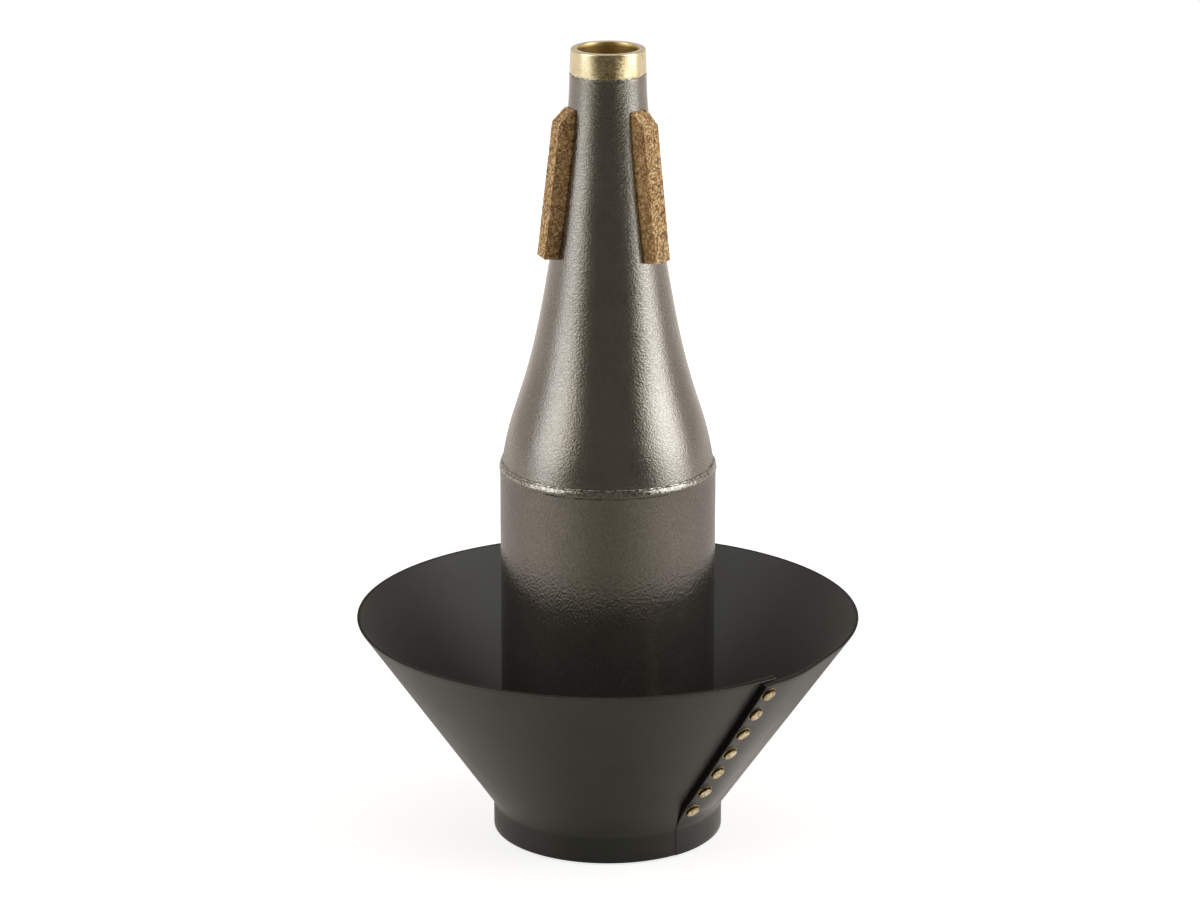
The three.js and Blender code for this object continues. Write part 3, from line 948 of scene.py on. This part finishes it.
def cup_stations():
    """Stations round the sheet: the lower flap, the way round, the joggle and the upper flap.

    Each is the distance of a line from the row of rivets, a fixed azimuth, the share of that azimuth
    in its own, the turns it has gone round, and the share of the flap's lift."""
    near = SEAM - SEAM_SPREAD
    far = SEAM + JOGGLE_TURN - 2 * math.pi
    margin = FLAP_MARGIN
    root = margin + JOGGLE_GAP
    stations = []
    for i in range(LOWER_FLAP_CELLS + 1):
        stations.append((margin * (1 - 2 * i / LOWER_FLAP_CELLS), near, 0, 0, 0))
    for i in range(1, EASE_CELLS):
        stations.append((-margin, near, i / EASE_CELLS, 0, 0))
    for i in range(ROUND_CELLS):
        stations.append((0, between(near, far, i / ROUND_CELLS), 1, 0, 0))
    for i in range(JOGGLE_CELLS + 1):
        stations.append((root, far, 1 - i / JOGGLE_CELLS, 1, smooth(i / JOGGLE_CELLS)))
    for i in range(1, UPPER_FLAP_CELLS + 1):
        stations.append((margin * (1 - 2 * i / UPPER_FLAP_CELLS), far, 0, 1, 1))
    return stations


def flap_edge(way):
    """How far the upper flap's edge lies from the rivets' row: straight, then trimmed at the foot."""
    trim = min(max((TRIM_TOP - way) / TRIM_RUN, 0), 1)
    return between(-FLAP_MARGIN, COLLAR_FLAP_EDGE, trim)


def on_cup(row, station, inside):
    """A point of the sheet, on its outside or its inside.

    The upper flap curls off a little towards the rim, and is skived thin on the collar. Away
    from the seam the sheet thins towards the rim. It is cut there on a slant, inner corner lower."""
    radius, height, slope = row
    side, fixed, fixed_share, turns, lift_share = station
    way = (height - COLLAR_HEIGHT) / math.cos(CONE_ANGLE)
    free = 0
    if fixed_share == 0 and turns:
        root = FLAP_MARGIN + JOGGLE_GAP
        out = (root - side) / (root + FLAP_MARGIN)
        side = between(root, flap_edge(way), out)
        free = smooth((out - FLAP_FREE_FROM) / (1 - FLAP_FREE_FROM))
    thick = between(smooth(way / SKIVE_ROOT), smooth(way / SKIVE_EDGE), free)
    top = between(COLLAR_LIFT, FLAP_LIFT, thick)
    under = between(COLLAR_GAP, FLAP_LIFT - CUP_SHEET, thick)
    loose = abs(math.sin(math.pi * (way - RIVET_FOOT_INSET) / RIVET_PITCH))
    curl = FLAP_CURL * free * smooth((way - CURL_FOOT) / CURL_RUN)
    offset = between(-CUP_SHEET, under, lift_share) if inside else top * lift_share
    offset += curl * between(CURL_AT_RIVETS, 1, loose)
    if inside:
        thinned = fixed_share * smooth(1 - (CONE_LENGTH - way) / RIM_THINNING)
        offset += (CUP_SHEET - RIM_SHEET) * thinned
    if inside and height == CUP_HEIGHT:
        radius -= RIM_CUT * math.sin(slope)
        height -= RIM_CUT * math.cos(slope)
    reach = radius + offset * math.cos(slope)
    beside = SEAM + (side - RIVET_LINE) / reach - turns * 2 * math.pi
    return place(reach, between(beside, fixed, fixed_share), height - offset * math.sin(slope))


def dress_edges(bm):
    """Rounds the sheet's cut edges, and gives their faces the materials of a cut edge.

    The outer arris is rubbed, and so is the collar's inner one. The collar's upright edges, which are
    skived thin, look like the sheet's face."""
    edges = [edge for edge in bm.edges if len({face.material_index for face in edge.link_faces}) == 2]
    rounded = bmesh.ops.bevel(
        bm,
        geom=edges,
        offset=CUP_EDGE_ROUND * MM,
        segments=3,
        profile=0.5,
        affect="EDGES",
        material=-1,
    )
    for face in rounded["faces"]:
        centre = face.calc_center_median()
        inner = face.normal.x * centre.x + face.normal.y * centre.y < 0
        face.material_index = CUT_EDGE if inner and centre.z > COLLAR_HEIGHT * MM else ARRIS
    for face in bm.faces:
        on_collar = face.calc_center_median().z < (COLLAR_HEIGHT - 1) * MM
        if face.material_index == CUT_EDGE and on_collar and abs(face.normal.z) < 0.3:
            face.material_index = SHEET_FACE


def cup_sheet(materials):
    """The cup, rolled from a flat blank whose columns are its stations."""
    rows = cup_rows()
    stations = cup_stations()
    columns = len(stations) - 1
    bm = blank(columns, len(rows) - 1)
    for face in bm.faces:
        face.normal_update()
        face.material_index = SHEET_FACE if abs(face.normal.z) > 0.5 else CUT_EDGE
    for vert in bm.verts:
        station = stations[round((vert.co.x + 0.5) * columns)]
        row = rows[round((vert.co.y + 0.5) * (len(rows) - 1))]
        vert.co = on_cup(row, station, vert.co.z < -0.5)
    bmesh.ops.recalc_face_normals(bm, faces=bm.faces)
    dress_edges(bm)
    finished("cup", bm, materials, "cup", ["cup_sheet"])


def collar_lining(material):
    """The felt strip round the barrel, whose ends butt at the back."""
    bm = blank(columns=240, rows=12)
    butt = LINING_BUTT / LINING_RADIUS / 2
    for vert in bm.verts:
        azimuth = between(butt - math.pi, math.pi - butt, vert.co.x + 0.5)
        radius = LINING_RADIUS + LINING_THICKNESS * min(vert.co.z, 0)
        vert.co = place(radius, azimuth, LINING_FOOT + LINING_HEIGHT * (vert.co.y + 0.5))
    roughen(bm, depth=0.08, size=1.4, seed=6)
    finished("lining", bm, [material], "friction_ring", ["collar_lining"])


# Rivets

def rivet_frame(number):
    """The frame of a rivet: its origin on the upper flap's outside, +Z square to the sheet."""
    way = RIVET_FOOT_INSET + number * RIVET_PITCH
    radius = COLLAR_RADIUS + way * math.sin(CONE_ANGLE)
    height = COLLAR_HEIGHT + way * math.cos(CONE_ANGLE)
    flat = math.cos(CONE_ANGLE)
    azimuth = SEAM - RIVET_LINE / (radius + FLAP_LIFT * flat)
    out = Vector((math.sin(azimuth) * flat, -math.cos(azimuth) * flat, -math.sin(CONE_ANGLE)))
    across = Vector((math.cos(azimuth), math.sin(azimuth), 0))
    turn = Matrix((across, out.cross(across), out)).transposed().to_4x4()
    return Matrix.Translation(place(radius, azimuth, height) + out * FLAP_LIFT * MM) @ turn


def rivet(seed):
    """A rivet: a thin flange under its raised head, a clinched tail, and the dents of its setting."""
    tail = -(FLAP_LIFT + CUP_SHEET) - 0.05
    foot = tail - RIVET_CLINCH
    roll = RIVET_CLINCH / 2
    fillet = RIVET_FILLET
    half_round = RIVET_ROUND / 2
    corner = (RIVET_HEAD - RIVET_ROUND, RIVET_EDGE - half_round)
    profile = [
        (0, foot + RIVET_PIT_DEPTH),
        (RIVET_PIT, foot + RIVET_PIT_DEPTH - 0.1),
        (RIVET_PIT, foot + 0.3),
        *arc((RIVET_TAIL - roll, tail - roll), (roll, roll), -110, 90, 10),
        (RIVET_SHANK, tail),
        (RIVET_SHANK, 0),
        (RIVET_FLANGE, 0),
        (RIVET_FLANGE, RIVET_FLANGE_EDGE),
        (RIVET_FLANGE - fillet, RIVET_FLANGE_TOP - 0.04),
        (RIVET_HEAD + fillet, RIVET_FLANGE_TOP),
        (RIVET_HEAD + fillet / 2, RIVET_FLANGE_TOP + fillet),
        (RIVET_HEAD, RIVET_EDGE - half_round),
        *arc(corner, (RIVET_ROUND, RIVET_ROUND), 25, 75, 3),
        *arc((0, RIVET_EDGE), (RIVET_HEAD - half_round, RIVET_DOME), 22, 84, 10),
        (0, RIVET_EDGE + RIVET_DOME),
    ]
    bm = turned(profile, steps=48)
    reach = bm.verts.layers.float.new("reach")
    for vert in bm.verts:
        vert[reach] = math.hypot(vert.co.x, vert.co.y) / (RIVET_HEAD * MM)
    roughen(bm, depth=0.09, size=1.8, seed=seed)
    return bm


def rivets(material):
    """The seam's rivets, each leaning a little its own way."""
    for number in range(RIVET_COUNT):
        bm = rivet(number + RIVET_SEED)
        lean = Matrix.Rotation(math.radians(RIVET_LEAN * math.sin(number * 2.1)), 4, "X")
        bm.transform(rivet_frame(number) @ lean)
        name = f"cup_rivet_{number + 1}"
        finished(f"rivet_{number + 1}", bm, [material], "cup", [name])


# Studio

def floor_look():
    """White to the camera, with the object's soft shadow.

    To gloss it glows: dark towards the front, where the room is dark too. At the sides it is dim,
    brighter close to the object on the right, and brightest far out."""
    material = bpy.data.materials.new("pale_floor")
    material.use_nodes = True
    tree = material.node_tree
    tree.nodes.remove(tree.nodes["Principled BSDF"])
    start = Wire(tree)
    seen = start.add("ShaderNodeLightPath", output="Is Camera Ray")
    where = start.add("ShaderNodeTexCoord", output="Object")
    x, y = where.split()[:2]
    azimuth = x.maths("ABSOLUTE").maths("ARCTAN2", y * -1)
    distance = where.add("ShaderNodeVectorMath", {"operation": "LENGTH"}, {0: where}, "Value")
    close = distance.step(0.08, 0.13, 1, 0)
    far_out = distance.step(0.5, 1.0)
    sides = azimuth.step(far_out * math.radians(14), math.radians(85) - far_out * math.radians(27))
    front = FRONT_LEVEL + (1 - far_out) * CLOSE_FRONT_GAIN
    side = SIDE_LEVEL + far_out * FAR_SIDE_GAIN + close * x.step(-0.04, 0.04, 0, CLOSE_RIGHT_GAIN)
    level = front + (side - front) * sides
    tint = azimuth.step(math.radians(20), math.radians(60)).blend(FRONT_TINT, SIDE_TINT)
    mirrored = start.add("ShaderNodeEmission", None, {"Color": tint, "Strength": level})
    lit = start.add("ShaderNodeBsdfDiffuse", None, {"Color": (0.8, 0.8, 0.8, 1)})
    pale = start.add("ShaderNodeBsdfDiffuse", None, {"Color": (0.65, 0.65, 0.65, 1)})
    glow = start.add("ShaderNodeEmission", None, {"Color": (*WHITE, 1), "Strength": FLOOR_GLOW})
    white = start.add("ShaderNodeAddShader", None, {0: pale, 1: glow})
    unseen = start.add("ShaderNodeMixShader", None, {0: seen.pick("Is Glossy Ray"), 1: lit, 2: mirrored})
    both = start.add("ShaderNodeMixShader", None, {0: seen, 1: unseen, 2: white})
    both.into(tree.nodes["Material Output"], "Surface")
    return material


def floor(material):
    """A pale round floor."""
    bm = bmesh.new()
    bmesh.ops.create_circle(bm, cap_ends=True, segments=96, radius=FLOOR_RADIUS)
    bmesh.ops.translate(bm, vec=(0, 0, -FLOOR_DROP), verts=bm.verts)
    made = linked("floor", bm)
    made.data.materials.append(material)


def studio():
    """White behind the object, and for light and reflections a room with a soft panel on each side.

    The azimuth runs from the front to either side and the elevation from level, both in degrees.
    The panel on the right stands a little further round, and is brighter. Low down, as the floor
    would show them, both panels spread towards the front."""
    world = bpy.data.worlds.new("studio")
    world.use_nodes = True
    bpy.context.scene.world = world
    tree = world.node_tree
    background = tree.nodes["Background"]
    start = Wire(tree)
    seen = start.add("ShaderNodeLightPath", output="Is Camera Ray")
    x, y, z = start.add("ShaderNodeTexCoord", output="Generated").split()
    azimuth = x.maths("ABSOLUTE").maths("ARCTAN2", y * -1) * (180 / math.pi)
    elevation = z.maths("ARCSINE") * (180 / math.pi)
    right = x.step(-0.05, 0.05)
    low = elevation.step(-5.5, -8.5)
    upright = elevation.step(-4, 14, PANEL_FOOT_INNER, PANEL_INNER)
    nearer = upright + right * RIGHT_INNER_SHIFT - low * (LOW_SPREAD + right * LOW_SPREAD_RIGHT)
    inner = azimuth.step(nearer, nearer + PANEL_INNER_FADE + low * LOW_FADE)
    further = PANEL_OUTER + right * RIGHT_OUTER_SHIFT
    outer = azimuth.step(further, further - PANEL_OUTER_FADE)
    panel = inner * outer * elevation.step(PANEL_TOP, PANEL_TOP - PANEL_TOP_FADE)
    lit = elevation.step(-12, 10, PANEL_FOOT_LEVEL, PANEL_LEVEL) * (1 + right * PANEL_RIGHT_GAIN)
    sides = elevation.step(4, -8, SIDE_LEVEL, LOW_SIDE_LEVEL)
    room = azimuth.step(50, 100, FRONT_LEVEL, sides)
    above = elevation.step(48, 80, 0, TOP_LEVEL) * azimuth.step(20, 60)
    level = room + panel * (lit - room) + above
    strength = seen + (1 - seen) * level
    strength.into(background, "Strength")
    fronts = azimuth.step(35, 70).blend(FRONT_TINT, WHITE)
    tint = azimuth.step(82, 105).blend(fronts, SIDE_TINT)
    seen.blend(tint, WHITE).into(background, "Color")


def camera():
    """The photograph's viewpoint, for a picture of 1200 by 900."""
    lens = bpy.data.cameras.new("camera")
    lens.sensor_fit = "HORIZONTAL"
    lens.sensor_width = 36
    lens.lens = CAMERA_LENS
    lens.clip_end = 50
    made = bpy.data.objects.new("camera", lens)
    made.location = CAMERA_PLACE
    made.rotation_euler = (math.radians(90 - CAMERA_DIP), 0, 0)
    bpy.context.scene.collection.objects.link(made)
    bpy.context.scene.camera = made


shell_lacquer = lacquer("shell_lacquer", metal=0.97, gloss=0.12, size=0.9, stretch=1, depth=0.115)
barrel_lacquer = lacquer("barrel_lacquer", metal=0.92, gloss=0.12, size=0.68, stretch=2.0, depth=0.13)
run_lacquer = lacquer_run()
cone_shell(shell_lacquer)
barrel_sleeve(barrel_lacquer, run_lacquer)
base_cap(barrel_lacquer)
throat_ferrule(polished_brass())
gathered_lacquer(
    "shoulder_bead",
    run_lacquer,
    radius=SHOULDER_RADIUS + 0.15,
    height=BARREL_HEIGHT + 0.05,
    span=(0.5, 0.42),
    steps=420,
    seed=11,
)
gathered_lacquer(
    "ferrule_bead",
    run_lacquer,
    radius=NECK_RADIUS - 0.26,
    height=NECK_Z + 0.05,
    span=(0.26, 0.45),
    steps=260,
    seed=13,
)
plain_side = cork("cork_side", light=0.8, speckle=0.45, stretch=1.4)
# Painted shade: the third cork's sides, turned to the dark front, get a darker copy of the side's cork.
painted_shade_side = cork("painted_shade_cork_side", light=0.6, speckle=0.45, stretch=1.4)
cork_face = cork("cork_face", light=1.05, speckle=1.0, stretch=1.0)
corks(cork_face, [plain_side, plain_side, painted_shade_side])
cup_sheet([fibre(), cut_edge(), rubbed_edge()])
collar_lining(felt())
rivets(rivet_brass())
floor(floor_look())
studio()
camera()

bpy.context.scene.view_settings.view_transform = "Standard"
